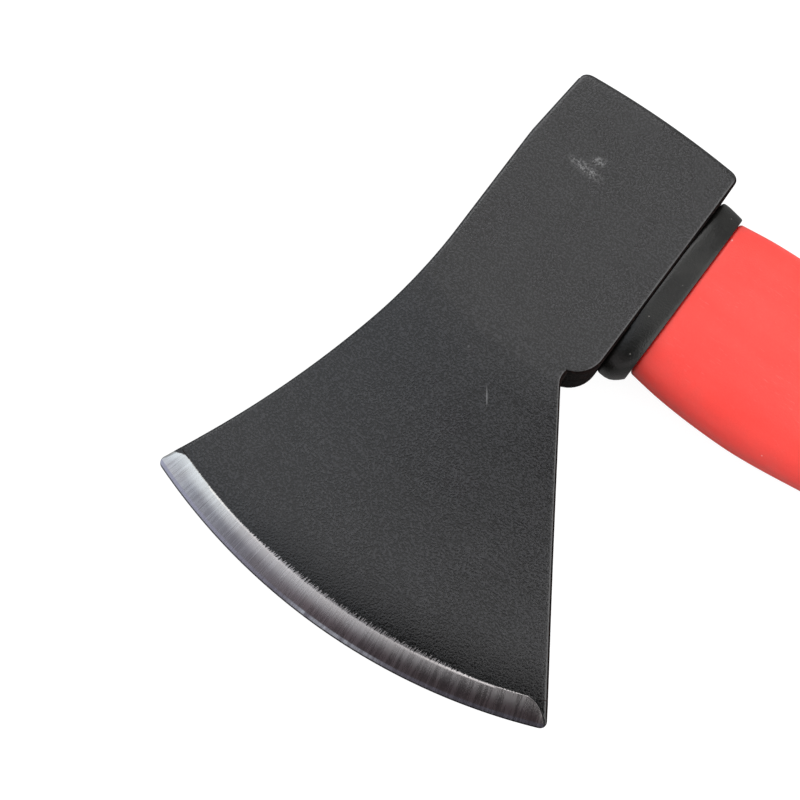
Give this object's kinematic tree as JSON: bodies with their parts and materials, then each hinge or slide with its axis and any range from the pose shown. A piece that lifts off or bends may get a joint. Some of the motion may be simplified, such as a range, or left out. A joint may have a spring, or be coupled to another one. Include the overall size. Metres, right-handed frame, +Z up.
{
  "type": "fire axe",
  "caption": "Fire axe with a forged flat-poll head, fan-shaped bearded bit, black shoulder collar and a red moulded handle with a soft grip and hanging hole.",
  "frame": {"origin": "on the lower cheek of the head, right under the centre of the eye, on the surface that the axe lies on", "axes": "+X runs up the handle towards the top of the head, +Y points to the cutting edge, +Z is up, through the thickness of the head"},
  "size_m": [0.61, 0.1639, 0.028],
  "materials": {
    "coated_steel": "matt black powder coat with fine grain, bare ground steel along the cutting edge",
    "resin": "black epoxy, glossy, self-levelled",
    "glass_fibre": "sawn end of a glass-fibre bar, pale yellow-green",
    "black_rubber": "satin black",
    "red_plastic": "smooth satin red",
    "grip_rubber": "matt black with moulded pads",
    "knob_rubber": "matt black",
    "eyelet_steel": "nickel-plated, lightly worn"
  },
  "bodies": {
    "root": {"axe_head": "coated_steel", "eye_resin": "resin", "glass_fibre_core": "glass_fibre", "shoulder_collar": "black_rubber", "handle_jacket": "red_plastic", "grip_sleeve": "grip_rubber", "butt_knob": "knob_rubber", "hanging_eyelet": "eyelet_steel"}
  },
  "joints": []
}
